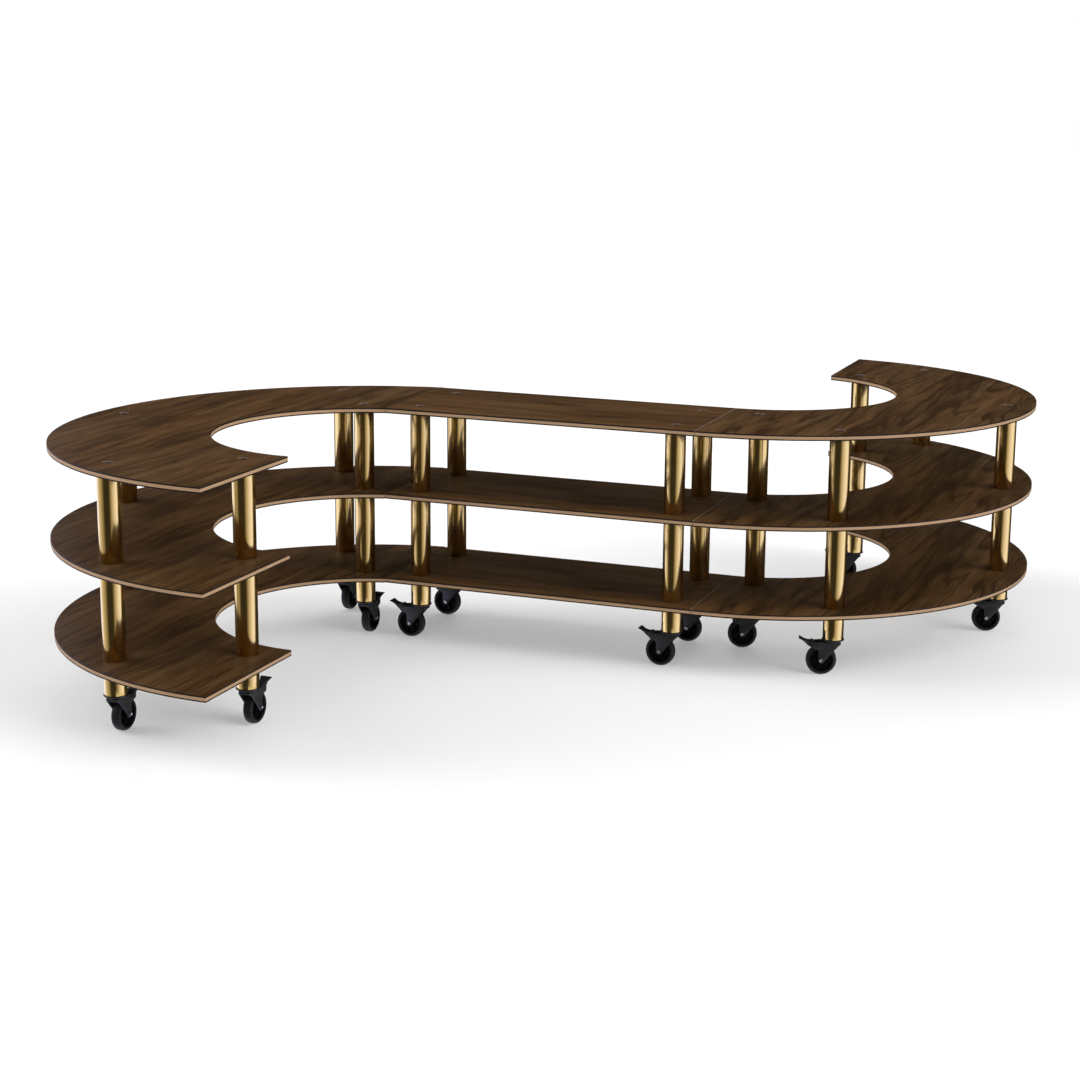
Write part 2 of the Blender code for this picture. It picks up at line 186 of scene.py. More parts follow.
class CastorSettings(bpy.types.PropertyGroup):
    """Sizes and colours of the castors, from the swivel axis and the floor."""

    crown_underside: length("Crown underside", "Height of the crown's lower face", 0.122)
    crown_top: length("Crown top", "Height of the crown's upper face", 0.126)
    race_top: length("Race top", "Height of the race cap's upper face", 0.1315)
    race_radius: length("Race radius", "Radius of the race cap", 0.034)
    swivel_gap: length("Swivel gap", "Gap between the race cap and the plate", 0.0005)
    crown_front: length("Crown front", "Reach of the crown ahead of the axis", 0.029)
    crown_rear: length("Crown rear", "Reach of the crown behind the axis", 0.048)
    skirt_foot: length("Skirt foot", "Height of the skirt's lower edge", 0.1165)
    leg_front: length("Leg front", "Reach of the legs ahead of the axis", 0.021)
    leg_top: length("Leg top", "Height where the legs leave the skirt", 0.1135)
    cheek_end: length("Cheek end", "Reach of the pedal cheeks behind the axis", 0.080)
    cheek_depth: length("Cheek depth", "Depth of the pedal cheeks", 0.018)
    waist_height: length("Waist height", "Height of the hollow between leg and cheek", 0.0985)
    waist_round: length("Waist rounding", "Radius of the hollow between leg and cheek", 0.012)
    fork_half: length("Fork half width", "Half the fork's outer width", 0.024)
    fork_sheet: length("Fork sheet", "Thickness of the pressed fork", 0.003)
    boss_radius: length("Axle boss", "Radius of the legs' lower ends", 0.0105)
    pivot_behind: length("Pedal pivot", "How far the pivot lies behind the axle", 0.030)
    pivot_height: length("Pivot height", "Height of the pedal's pivot", 0.116)
    steel: colour("Fork steel", "pressed steel", (0.018, 0.018, 0.0185))
    tyre: colour("Tyre", "tyre", (0.0115, 0.0102, 0.0095))
    hub: colour("Hub", "wheel's hub", (0.0016, 0.0016, 0.0017))
    bolt: colour("Axle bolt", "axle bolt", (0.66, 0.66, 0.67))


class StudioSettings(bpy.types.PropertyGroup):
    """Camera, floor and light."""

    camera_place: bpy.props.FloatVectorProperty(
        name="Camera place",
        description="Where the camera stands",
        default=(2.507266, -6.835881, 2.117988),
        subtype="TRANSLATION",
        unit="LENGTH",
    )
    camera_turn: rotation("Turn", "Turn to the right of +Y", -0.344064)
    camera_dip: rotation("Dip", "Dip below the horizon", 0.197806)
    camera_roll: rotation("Roll", "Roll of the picture", 0.013199)
    lens: bpy.props.FloatProperty(
        name="Lens", description="Focal length on a 36 mm frame", default=65.03055, unit="CAMERA"
    )
    shift: bpy.props.FloatVectorProperty(
        name="Shift", description="Shift of the frame", default=(-0.048381, -0.060700), size=2
    )
    floor: colour("Floor", "floor", (1.0, 1.0, 1.0))
    floor_lift: share("Floor lift", "Share of the floor that the camera sees as plain white", 0.27)
    floor_bounce: colour("Floor bounce", "floor to the light that it throws back", (0.34, 0.34, 0.34))
    sky: share("Sky", "Strength of the even light all round", 0.345)
    key: power("Key light", "low light from the right", 1.83)
    fill: power("Fill light", "low light from the left", 1.74)
    key_high: power("High key light", "high light from the right", 0.70)
    fill_high: power("High fill light", "high light from the left", 0.65)
    front: power("Front light", "light from the front", 0.68)
    back: power("Back light", "light from behind", 0.67)
    screen_dark: power("Dark screen", "screen in front and behind", 0.072)
    screen_left: power("Left screen", "screen at the left", 2.4)
    screen_right: power("Right screen", "screen at the right", 2.24)
    screen_soft: power("Soft screen", "screen where its bright sides fade", 1.52)
    screen_warm: colour("Warm screen", "screen where it is dark", (0.69, 0.66, 0.53))
    screen_cool: colour("Cool screen", "screen where it is bright", (0.625, 0.68, 1.0))


class Wire:
    """A node's output, on which sums can be written."""

    def __init__(self, paint, socket):
        self.paint = paint
        self.socket = socket

    def __add__(self, other):
        return self.paint.maths("ADD", self, other)

    def __radd__(self, other):
        return self.paint.maths("ADD", other, self)

    def __sub__(self, other):
        return self.paint.maths("SUBTRACT", self, other)

    def __rsub__(self, other):
        return self.paint.maths("SUBTRACT", other, self)

    def __mul__(self, other):
        return self.paint.maths("MULTIPLY", self, other)

    def __rmul__(self, other):
        return self.paint.maths("MULTIPLY", other, self)


class Paint:
    """Adds nodes to a material or to the world."""

    def __init__(self, owner):
        owner.use_nodes = True
        self.owner = owner
        self.tree = owner.node_tree
        self.tree.nodes.clear()

    def add(self, kind, inputs=None, settings=None, output=0):
        node = self.tree.nodes.new(f"ShaderNode{kind}")
        for key, value in (settings or {}).items():
            setattr(node, key, value)
        for key, value in (inputs or {}).items():
            if isinstance(value, Wire):
                self.tree.links.new(value.socket, node.inputs[key])
            else:
                node.inputs[key].default_value = value
        return Wire(self, node.outputs[output]) if node.outputs else None

    def maths(self, operation, first, second):
        return self.add("Math", {0: first, 1: second}, {"operation": operation})

    def clamped(self, value):
        return self.add("Math", {0: value, 1: 0}, {"operation": "ADD", "use_clamp": True})

    def between(self, value, low, high):
        """0 below low, 1 above high, and smooth between them."""
        settings = {"interpolation_type": "SMOOTHSTEP"}
        return self.add("MapRange", {0: value, 1: low, 2: high}, settings)

    def blend(self, factor, first, second, mode="MIX"):
        settings = {"data_type": "RGBA", "blend_type": mode}
        return self.add("Mix", {0: factor, 6: first, 7: second}, settings, 2)

    def ramp(self, value, stops):
        """A colour that runs through (position, colour) stops."""
        wire = self.add("ValToRGB", {"Fac": value})
        elements = wire.socket.node.color_ramp.elements
        while len(elements) < len(stops):
            elements.new(1)
        for element, (position, tint) in zip(elements, stops):
            element.position = position
            element.color = rgba(tint)
        return wire

    def place(self):
        return self.add("TexCoord", output="Object")

    def shown(self):
        """1 for what the camera sees, directly or in a reflection, and 0 for light on the object."""
        kinds = ("Is Camera Ray", "Is Glossy Ray", "Is Transmission Ray")
        camera, glossy, through = [self.add("LightPath", output=kind) for kind in kinds]
        return self.clamped(camera + glossy + through)

    def stretch(self, vector, scale, turn=0.0, move=(0, 0, 0)):
        inputs = {"Vector": vector, "Location": move, "Rotation": (0, 0, turn), "Scale": scale}
        return self.add("Mapping", inputs)

    def noise(self, vector, scale, detail=2.0, roughness=0.5):
        inputs = {"Vector": vector, "Scale": scale, "Detail": detail, "Roughness": roughness}
        return self.add("TexNoise", inputs)

    def sideways(self, vector, amount):
        """Moves a vector along X by an amount that changes over the surface."""
        shift = self.add("CombineXYZ", {"X": amount})
        return self.add("VectorMath", {0: vector, 1: shift}, {"operation": "ADD"})

    def bump(self, height, strength, distance):
        return self.add("Bump", {"Height": height, "Strength": strength, "Distance": distance})

    def finish(self, tint, roughness, specular=0.5, metallic=0.0, normal=None):
        inputs = {"Base Color": tint, "Roughness": roughness}
        inputs |= {"Specular IOR Level": specular, "Metallic": metallic}
        if normal:
            inputs["Normal"] = normal
        shader = self.add("BsdfPrincipled", inputs)
        self.add("OutputMaterial", {"Surface": shader})
        return self.owner


def rgba(tint, factor=1.0):
    """A colour with its alpha, darker or paler by a factor."""
    return (*(min(1, part * factor) for part in tint), 1)


def new_finish(name):
    return Paint(bpy.data.materials.new(name))


def walnut_finish(name, look, turn, wander, boldness, line_share, stripe_share):
    """Walnut with its grain along Y once turned, thin growth lines and, on some, one dark stripe."""
    paint = new_finish(name)
    grain = paint.stretch(paint.place(), (1, 1, 0), turn)
    side = paint.add("SeparateXYZ", {0: grain}, output="X")
    swirl = paint.between(side, STRIPE_AT + 0.06, STRIPE_AT + 0.20) * stripe_share
    slow = paint.noise(paint.stretch(grain, (1.6, 0.62, 1)), 1.7, 2)
    quick = paint.noise(paint.stretch(grain, (1, 0.30, 1)), 9, 3)
    lines = paint.sideways(grain, (slow - 0.5) * wander + (quick - 0.5) * (0.030 + swirl * 0.50))
    broad = paint.noise(paint.stretch(lines, (1, 0.14, 1)), 6, 2)
    bands = paint.noise(paint.stretch(lines, (1, 0.09, 1)), 22, 3, 0.55)
    strands = paint.noise(paint.stretch(lines, (1, 0.06, 1)), 90, 4, 0.65)
    growth = paint.noise(paint.stretch(lines, (1, 0.06, 1), 0, (5, 2, 0)), 5, 1.5)
    fibres = paint.noise(paint.stretch(lines, (1, 0.018, 1)), 420, 3, 0.6)
    pores = paint.noise(paint.stretch(lines, (1, 0.03, 1)), 900, 2, 0.5)
    across = paint.add("SeparateXYZ", {0: lines}, output="X")
    stripe = paint.between(paint.maths("ABSOLUTE", across - STRIPE_AT, 0), 0.14, 0.07) * stripe_share
    streaks = (broad - 0.5) * 0.55 + (bands - 0.5) * 0.80 + (strands - 0.5) * 0.90
    clear = paint.between(paint.maths("PINGPONG", growth * 9, 0.5), 0.0, 0.15)
    tone = 0.54 + streaks * boldness + (fibres - 0.5) * 0.30 - (1 - clear) * bands * line_share - stripe
    stops = [(0.26, look.walnut_dark), (0.50, look.walnut_mid), (0.76, look.walnut_pale)]
    wood = paint.ramp(tone, stops)
    warm = paint.noise(paint.stretch(lines, (1, 0.16, 1), 0, (3.1, 0.7, 2.2)), 7, 2)
    reddish = paint.blend(paint.between(warm, 0.35, 0.65), (0.97, 1.0, 1.04, 1), (1.03, 0.99, 0.94, 1))
    tinted = paint.blend(1.0, wood, reddish, "MULTIPLY")
    pits = paint.between(pores, 0.60, 0.70)
    return paint.finish(
        paint.blend(pits * 0.6, tinted, rgba(look.walnut_dark)),
        0.42 + fibres * 0.14 + pits * 0.10,
        specular=0.07,
        normal=paint.bump(fibres * 0.5 - pits * 0.8, 0.12, 0.0004),
    )


def core_finish(look):
    """The pressed core of a board, with a faint layered fibre."""
    paint = new_finish("board_core")
    place = paint.place()
    fibre = paint.noise(paint.stretch(place, (60, 60, 700)), 1, 3, 0.6)
    patches = paint.noise(place, 18, 2)
    tone = paint.clamped(fibre * 0.7 + patches * 0.5 - 0.1)
    tint = paint.blend(tone, rgba(look.core, 0.78), rgba(look.core, 1.18))
    relief = paint.bump(fibre, 0.15, 0.0003)
    return paint.finish(tint, 0.62 + fibre * 0.2, specular=0.2, normal=relief)


def edge_finish(name, tint, shades, across, unevenness, specular):
    """The cut edge of a board, with a faint fibre along it; also the painted highlight on the board
    ends at the right-hand seam.
    """
    paint = new_finish(name)
    fibre = paint.noise(paint.stretch(paint.place(), (across, across, 900)), 1, 2, 0.6)
    deep, pale = [rgba(tint, factor) for factor in shades]
    return paint.finish(paint.blend(fibre, deep, pale), 0.5 + fibre * unevenness, specular)


def brass_finish(look):
    """Polished brass with fine rubbing marks round the tube and a faint unevenness."""
    paint = new_finish("polished_brass")
    place = paint.place()
    marks = paint.noise(paint.stretch(place, (6, 6, 520)), 1, 3, 0.6)
    haze = paint.noise(place, 22, 3, 0.55)
    worn = paint.noise(paint.stretch(place, (1, 1, 0.5)), 60, 2)
    tone = paint.clamped(haze * 0.8 + worn * 0.3)
    tint = paint.blend(tone, rgba(look.brass, 0.93), rgba(look.brass, 1.06))
    roughness = look.brass_gloss - 0.04 + marks * 0.06 + haze * 0.03
    rubbed = paint.bump(marks * 0.4 + haze, 0.008, 0.0003)
    return paint.finish(tint, roughness, metallic=1.0, normal=rubbed)


def steel_finish(name, tint, roughness, brushed):
    """Turned or rolled bright steel."""
    paint = new_finish(name)
    place = paint.place()
    marks = paint.noise(paint.stretch(place, (brushed, 90, 90)), 1, 3, 0.6)
    dull = paint.noise(place, 160, 2)
    dulled = paint.blend(dull, rgba(tint, 0.75), rgba(tint))
    return paint.finish(dulled, roughness - 0.06 + marks * 0.16, metallic=1.0)


def coated_finish(look):
    """Pressed steel under a satin black coat."""
    paint = new_finish("black_pressed_steel")
    place = paint.place()
    grit = paint.noise(place, 900, 2, 0.6)
    cloud = paint.noise(place, 26, 3)
    tint = paint.blend(cloud, rgba(look.steel, 0.7), rgba(look.steel, 1.5))
    relief = paint.bump(grit, 0.10, 0.0002)
    return paint.finish(tint, 0.40 + cloud * 0.14, specular=0.45, normal=relief)


def tyre_finish(look):
    """Black rubber, a little dusty where it rolls."""
    paint = new_finish("black_tyre")
    place = paint.place()
    dust = paint.noise(place, 55, 4, 0.6)
    grain = paint.noise(place, 1400, 2)
    tint = paint.blend(paint.between(dust, 0.45, 0.8) * 0.6, rgba(look.tyre), rgba(look.tyre, 1.9))
    relief = paint.bump(grain, 0.08, 0.0002)
    return paint.finish(tint, 0.52 + dust * 0.16, specular=0.25, normal=relief)


def hub_finish(look):
    """Moulded black plastic."""
    paint = new_finish("black_hub")
    place = paint.place()
    grain = paint.noise(place, 1100, 2)
    cloud = paint.noise(place, 40, 2)
    tint = paint.blend(cloud, rgba(look.hub), rgba(look.hub, 1.8))
    relief = paint.bump(grain, 0.06, 0.0002)
    return paint.finish(tint, 0.42 + cloud * 0.16, specular=0.12, normal=relief)


def smoothed(mesh):
    mesh.shade_smooth()
    mesh.set_sharp_from_angle(angle=SHARP)
    return mesh


def closed_mesh(bm, name, finishes=()):
    bmesh.ops.remove_doubles(bm, verts=bm.verts, dist=MERGE)
    bmesh.ops.recalc_face_normals(bm, faces=bm.faces)
    mesh = bpy.data.meshes.new(name)
    for finish in finishes:
        mesh.materials.append(finish)
    bm.to_mesh(mesh)
    bm.free()
    return smoothed(mesh)


def add_shape(bm, other, name):
    """Closes a shape and adds it to another."""
    mesh = closed_mesh(other, name)
    bm.from_mesh(mesh)
    bpy.data.meshes.remove(mesh)


def add_prism(bm, sides, radius, depth, place):
    """A straight prism about Z, with its middle at a place."""
    bmesh.ops.create_cone(
        bm, cap_ends=True, segments=sides, radius1=radius, radius2=radius, depth=depth, matrix=place
    )


def shift_all(bm, vec):
    bmesh.ops.translate(bm, verts=bm.verts, vec=vec)


def turn_all(bm, amount, axis):
    bmesh.ops.rotate(bm, verts=bm.verts, cent=(0, 0, 0), matrix=Matrix.Rotation(amount, 3, axis))


def only(kind, items):
    return [item for item in items if isinstance(item, kind)]


def new_object(name, mesh):
    obj = bpy.data.objects.new(name, mesh)
    bpy.context.scene.collection.objects.link(obj)
    return obj


def add_piece(name, mesh, body, node):
    """A finished piece that rides on a body and stands for a node, whose part it hides."""
    obj = new_object(name, mesh)
    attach(obj, body)
    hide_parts(node)


def add_copy(name, shape, matrix, finish, body, node):
    mesh = shape.copy()
    mesh.transform(matrix)
    mesh.materials.append(finish)
    add_piece(name, mesh, body, node)


def cut(mesh, other):
    """A mesh with another taken out of it."""
    target = new_object("cut_target", mesh)
    tool = new_object("cut_tool", other)
    modifier = target.modifiers.new("cut", "BOOLEAN")
    modifier.operation = "DIFFERENCE"
    modifier.solver = "EXACT"
    modifier.object = tool
    bpy.context.view_layer.update()
    graph = bpy.context.evaluated_depsgraph_get()
    result = bpy.data.meshes.new_from_object(target.evaluated_get(graph))
    bpy.data.objects.remove(target)
    bpy.data.objects.remove(tool)
    return result


def bevel(bm, edges, offset, segments=2):
    bmesh.ops.bevel(
        bm,
        geom=edges,
        offset=offset,
        segments=segments,
        profile=0.5,
        affect="EDGES",
        material=-1,
        clamp_overlap=True,
    )


def spin(bm, geom, amount, steps, merge):
    bmesh.ops.spin(
        bm, geom=geom, cent=(0, 0, 0), axis=(0, 0, 1), angle=amount, steps=steps, use_merge=merge
    )


def turned(profile, steps):
    """Spins (radius, height) points about Z, as a closed ring unless they start on the axis."""
    bm = bmesh.new()
    points = [bm.verts.new((radius, 0, height)) for radius, height in profile]
    pairs = list(zip(points, points[1:]))
    if profile[0][0] > 0:
        pairs.append((points[-1], points[0]))
    lines = [bm.edges.new(pair) for pair in pairs]
    spin(bm, points + lines, 2 * pi, steps, merge=True)
    bmesh.ops.remove_doubles(bm, verts=bm.verts, dist=MERGE)
    return bm


def mirrored(points):
    return [(radius, -height) for radius, height in reversed(points)]


def laid_along_y(bm):
    turn_all(bm, pi / 2, "X")
    return bm


def arc(centre, radius, first, last):
    """Points of an arc between two angles in degrees."""
    turns = [radians(first + (last - first) * i / ARC_STEPS) for i in range(ARC_STEPS + 1)]
    return [(centre[0] + radius * cos(t), centre[1] + radius * sin(t)) for t in turns]


def side_shape(points, half_width):
    """An outline of (x, z) points, extruded to both sides of the XZ plane."""
    bm = bmesh.new()
    face = bm.faces.new([bm.verts.new((x, -half_width, z)) for x, z in points])
    made = bmesh.ops.extrude_face_region(bm, geom=[face])["geom"]
    bmesh.ops.translate(bm, verts=only(BMVert, made), vec=(0, 2 * half_width, 0))
    bmesh.ops.recalc_face_normals(bm, faces=bm.faces)
    return bm


def steep_edges(bm, degrees):
    """The edges whose two faces turn by more than an angle."""
    return [e for e in bm.edges if e.is_manifold and e.calc_face_angle(0) > radians(degrees)]


def level_change(edge):
    """How differently the two faces at an edge lean."""
    first, second = edge.link_faces
    return abs(abs(first.normal.z) - abs(second.normal.z))


class Spot:
    """A column and the castor under it, as the frame places them."""

    def __init__(self, module, corner):
        self.label = f"{module}_{corner}"
        self.trolley = f"{module}_trolley"
        self.column = f"{self.label}_column"
        low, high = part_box(self.column)
        self.x = (low.x + high.x) / 2
        self.y = (low.y + high.y) / 2
        low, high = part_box(f"{self.label}_wheel")
        self.axle = (low + high) / 2
        trail = Vector((self.axle.x - self.x, self.axle.y - self.y))
        self.trail = trail.length
        self.heading = atan2(trail.y, trail.x)
        self.braked = f"{self.label}_pedal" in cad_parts

    def upright(self, height=0.0):
        return Matrix.Translation((self.x, self.y, height))

    def turned(self):
        return self.upright() @ Matrix.Rotation(self.heading, 4, "Z")


def all_spots():
    return [Spot(module, corner) for module, corners in COLUMNS.items() for corner in corners]


def board_levels(tier):
    low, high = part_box(f"centre_{tier}_shelf")
    return low.z, high.z


def ring_face(module, steps):
    """A flat half ring with its far end trimmed, where the frame has that trolley's boards."""
    low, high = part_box(f"{module}_top_shelf")
    straight_low, straight_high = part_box("centre_top_shelf")
    outer = high.x - low.x
    inner = outer - (straight_high.y - straight_low.y)
    bulge = 1 if module == "right" else -1
    centre = Vector((low.x if bulge > 0 else high.x, low.y + outer, 0))
    trim = sqrt(outer**2 - (high.y - centre.y) ** 2)
    bm = bmesh.new()
    ends = [bm.verts.new((0, -inner, 0)), bm.verts.new((0, -outer, 0))]
    line = bm.edges.new(ends)
    spin(bm, [*ends, line], bulge * pi, steps, merge=False)
    far = [face for face in bm.faces if face.calc_center_median().y > inner / 2]
    far += list({edge for face in far for edge in face.edges})
    far += list({vert for edge in only(BMEdge, far) for vert in edge.verts})
    bmesh.ops.bisect_plane(
        bm, geom=far, plane_co=(bulge * trim, 0, 0), plane_no=(-bulge, 0, 0), clear_outer=True
    )
    shift_all(bm, centre)
    return bm


def straight_face():
    low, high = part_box("centre_top_shelf")
    bm = bmesh.new()
    bmesh.ops.create_grid(bm, x_segments=8, y_segments=3, size=0.5)
    bmesh.ops.scale(bm, verts=bm.verts, vec=(high.x - low.x, high.y - low.y, 1))
    middle = (low + high) / 2
    shift_all(bm, (middle.x, middle.y, 0))
    return bm


def layered_board(bm, under, top, look):
    """Builds a board down from its flat face, with a band of edge for each of its layers."""
    shift_all(bm, (0, 0, top))
    region = bm.faces[:]
    core = top - under - look.face_layer - look.under_layer
    for depth in (look.face_layer, core, look.under_layer):
        made = bmesh.ops.extrude_face_region(bm, geom=region)["geom"]
        region = only(BMFace, made)
        bmesh.ops.translate(bm, verts=only(BMVert, made), vec=(0, 0, -depth))
    bmesh.ops.recalc_face_normals(bm, faces=bm.faces)
    for face in bm.faces:
        height = face.calc_center_median().z
        if abs(face.normal.z) < 0.5:
            in_core = under + look.under_layer < height < top - look.face_layer
            face.material_index = CORE if in_core else LAYER
    rims = [edge for edge in bm.edges if edge.is_manifold and level_change(edge) > 0.5]
    bevel(bm, rims, look.edge_round)
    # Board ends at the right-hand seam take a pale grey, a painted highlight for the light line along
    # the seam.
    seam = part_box("centre_top_shelf")[1].x
    for face in bm.faces:
        if abs(face.calc_center_median().x - seam) < SEAM_REACH and abs(face.normal.x) > 0.3:
            face.material_index = SEAM_PAINTED_HIGHLIGHT
    return bm


def add_to_columns(part, shape, finish):
    for spot in all_spots():
        name = f"{spot.label}_{part}"
        add_copy(name, shape, spot.upright(), finish, spot.trolley, spot.column)


class STATION_OT_boards(bpy.types.Operator):
    """Makes the nine boards, with seats for the bolt heads in the top ones"""

    bl_idname = "station.boards"
    bl_label = "Boards"

    def execute(self, context):
        look = context.scene.station_boards
        layer = {"shades": (0.7, 1.6), "across": 40, "unevenness": 0.15, "specular": 0.1}
        bare = {"shades": (0.8, 1.0), "across": 90, "unevenness": 0.2, "specular": 0.2}
        edges = [
            edge_finish("board_face_layer", look.layer_edge, **layer),
            core_finish(look),
            edge_finish("seat_wall", look.seat_wall, **bare),
            # The seam ends' pale grey is a painted highlight.
            edge_finish("seam_end", look.seam, **bare),
        ]
        faces = {
            module: walnut_finish(f"walnut_{module}", look, *grain) for module, grain in GRAINS.items()
        }
        for module in COLUMNS:
            for tier in TIERS:
                self.make_board(module, tier, look, [faces[module], *edges])
        return {"FINISHED"}

    def make_board(self, module, tier, look, finishes):
        bm = straight_face() if module == "centre" else ring_face(module, look.ring_steps)
        under, top = board_levels(tier)
        name, node = f"{module}_{tier}_board", f"{module}_{tier}_shelf"
        mesh = closed_mesh(layered_board(bm, under, top, look), name, finishes)
        if tier == "top":
            mesh = smoothed(cut(mesh, self.seats(module, top, look, finishes)))
        add_piece(name, mesh, f"{module}_trolley", node)

    def seats(self, module, top, look, finishes):
        radius = bpy.context.scene.station_columns.head_radius + look.seat_gap
        bm = bmesh.new()
        for corner in COLUMNS[module]:
            add_prism(bm, 40, radius, 2 * look.seat_depth, Spot(module, corner).upright(top))
        for face in bm.faces:
            face.material_index = SEAT
        return closed_mesh(bm, "bolt_head_seats", finishes)


class STATION_OT_columns(bpy.types.Operator):
    """Makes the brass tubes of the columns: two posts and a foot on each"""

    bl_idname = "station.columns"
    bl_label = "Columns"

    def execute(self, context):
        look = context.scene.station_columns
        brass = brass_finish(look)
        castors = context.scene.station_castors
        foot_under = castors.race_top + castors.swivel_gap + look.plate_depth
        spans = {
            "upper_post": (board_levels("middle")[1], board_levels("top")[0]),
            "lower_post": (board_levels("bottom")[1], board_levels("middle")[0]),
            "foot_tube": (foot_under, board_levels("bottom")[0]),
        }
        for part, (low, high) in spans.items():
            add_to_columns(part, self.tube(low + look.fit_gap, high - look.fit_gap, look), brass)
        return {"FINISHED"}

    def tube(self, low, high, look):
        radius, edge = look.tube_radius, look.end_round
        inside = radius - look.wall
        profile = [(inside, low), (radius - edge, low), (radius - edge * 0.3, low + edge * 0.3)]
        profile += [(radius, low + edge), (radius, high - edge)]
        profile += [(radius - edge * 0.3, high - edge * 0.3), (radius - edge, high), (inside, high)]
        return closed_mesh(turned(profile, 72), "tube")


class STATION_OT_bolt_heads(bpy.types.Operator):
    """Makes the flush bolt heads in the top boards"""

    bl_idname = "station.bolt_heads"
    bl_label = "Bolt heads"

    def execute(self, context):
        look = context.scene.station_columns
        steel = steel_finish("bolt_head_steel", look.head_steel, roughness=0.50, brushed=30)
        top = board_levels("top")[1] - look.head_recess
        add_to_columns("bolt_head", self.head(look, top), steel)
        return {"FINISHED"}

    def head(self, look, top):
        radius, depth, edge = look.head_radius, look.head_depth, 0.0012
        profile = [(0, top), (radius - edge, top), (radius - edge / 4, top - edge / 3)]
        profile += [(radius, top - edge), (radius, top - depth), (0, top - depth)]
        mesh = closed_mesh(turned(profile, 48), "bolt_head")
        socket = bmesh.new()
        socket_radius, socket_depth = 0.0034, 0.002
        add_prism(socket, 6, socket_radius, 2 * socket_depth, Matrix.Translation((0, 0, top)))
        return smoothed(cut(mesh, closed_mesh(socket, "hex_socket")))


class STATION_OT_forks(bpy.types.Operator):
    """Makes the castors' plates, race caps, pressed forks and axle bolts"""

    bl_idname = "station.forks"
    bl_label = "Castor forks"

    def execute(self, context):
        look = context.scene.station_castors
        columns = context.scene.station_columns
        coat = coated_finish(look)
        bright = steel_finish("axle_bolt_steel", look.bolt, roughness=0.26, brushed=90)
        spots = all_spots()
        axle = Vector((spots[0].trail, 0, spots[0].axle.z))
        plate = self.plate(look, columns)
        race = self.race(look)
        fork = self.fork(look, axle)
        bolt = self.axle_bolt(look, axle)
        for spot in spots:
            node, body = f"{spot.label}_fork", f"{spot.label}_castor"
            here, label = spot.turned(), spot.label
            name = f"{label}_castor_plate"
            add_copy(name, plate, here, coat, spot.trolley, spot.column)
            add_copy(f"{label}_race_cap", race, here, coat, body, node)
            add_copy(f"{label}_pressed_fork", fork, here, coat, body, node)
            add_copy(f"{label}_axle_bolt", bolt, here, bright, body, node)
        return {"FINISHED"}

    def plate(self, look, columns):
        low = look.race_top + look.swivel_gap
        high = low + columns.plate_depth
        radius, edge = columns.plate_radius, 0.001
        profile = [(0, high), (radius - edge, high), (radius, high - edge)]
        profile += [(radius, low + edge), (radius - edge, low), (0, low)]
        return closed_mesh(turned(profile, 64), "castor_plate")

    def race(self, look):
        low, high, radius = look.crown_top, look.race_top, look.race_radius
        step = (high - low) / 3
        groove, lip, root = radius - 0.0025, radius - 0.001, radius - 0.004
        profile = [(0, high), (radius, high), (radius, high - step), (groove, high - step)]
        profile += [(groove, high - step * 1.2), (lip, high - step * 1.5)]
        profile += [(root, low + step * 0.5), (root, low), (0, low)]
        bm = turned(profile, 56)
        bevel(bm, steep_edges(bm, 50), 0.0005)
        return closed_mesh(bm, "race_cap")

    def fork(self, look, axle):
        """A crown with a skirt at its front, two legs, and behind them the cheeks for a pedal."""
        skirt_round, crown_round, sheet_round = 0.008, 0.003, 0.0006
        bm = side_shape(self.outline(look, axle), look.fork_half)
        front = [e for e in bm.edges if max(v.co.x for v in e.verts) < NEAR - look.crown_front]
        upright = [e for e in front if abs(e.verts[0].co.z - e.verts[1].co.z) > 0.001]
        bevel(bm, upright, skirt_round, 5)
        crown = [e for e in bm.edges if min(v.co.z for v in e.verts) > look.crown_top - NEAR]
        crown = [e for e in crown if min(v.co.x for v in e.verts) < look.crown_rear - NEAR]
        bevel(bm, crown, crown_round, 3)
        body = closed_mesh(bm, "pressed_fork")
        far, spare = look.cheek_end * 2, 0.02
        low, high = -spare, look.crown_top + spare
        skirt_back, skirt_under = look.fork_sheet - look.crown_front, look.leg_top - 0.001
        slot = [
            (-far, low),
            (far, low),
            (far, high),
            (look.crown_rear, high),
            (look.crown_rear, look.crown_underside),
            (skirt_back, look.crown_underside),
            (skirt_back, skirt_under),
            (-far, skirt_under),
        ]
        room = closed_mesh(side_shape(slot, look.fork_half - look.fork_sheet), "wheel_room")
        bm = bmesh.new()
        bm.from_mesh(cut(body, room))
        bevel(bm, steep_edges(bm, 55), sheet_round)
        self.add_pressings(bm, look, axle)
        return closed_mesh(bm, "pressed_fork")

    def outline(self, look, axle):
        leg_rear, edge = axle.x + look.boss_radius, 0.004
        cheek_foot = look.crown_underside - look.cheek_depth
        waist = (leg_rear + look.waist_round, look.waist_height - look.waist_round)
        points = [
            (look.crown_rear, look.crown_top),
            (-look.crown_front, look.crown_top),
            (-look.crown_front, look.skirt_foot),
            (-look.leg_front, look.leg_top),
        ]
        points += arc((axle.x, axle.z), look.boss_radius, 225, 360)
        points += arc(waist, look.waist_round, 180, 90)
        points += arc((look.cheek_end - edge, cheek_foot + edge), edge, 270, 360)
        return points + [(look.cheek_end, look.crown_underside)]

    def add_pressings(self, bm, look, axle):
        """A raised ring round the axle and the riveted ends of the pedal's pin, on each leg."""
        ring_radius, rivet_radius, rivet_depth = 0.0092, 0.0040, 0.0016
        pivot_x = axle.x + look.pivot_behind
        for side in (-1, 1):
            face = side * look.fork_half
            self.add_disc(bm, (axle.x, face, axle.z), ring_radius, RING_DEPTH, side)
            self.add_disc(bm, (pivot_x, face, look.pivot_height), rivet_radius, rivet_depth, side)

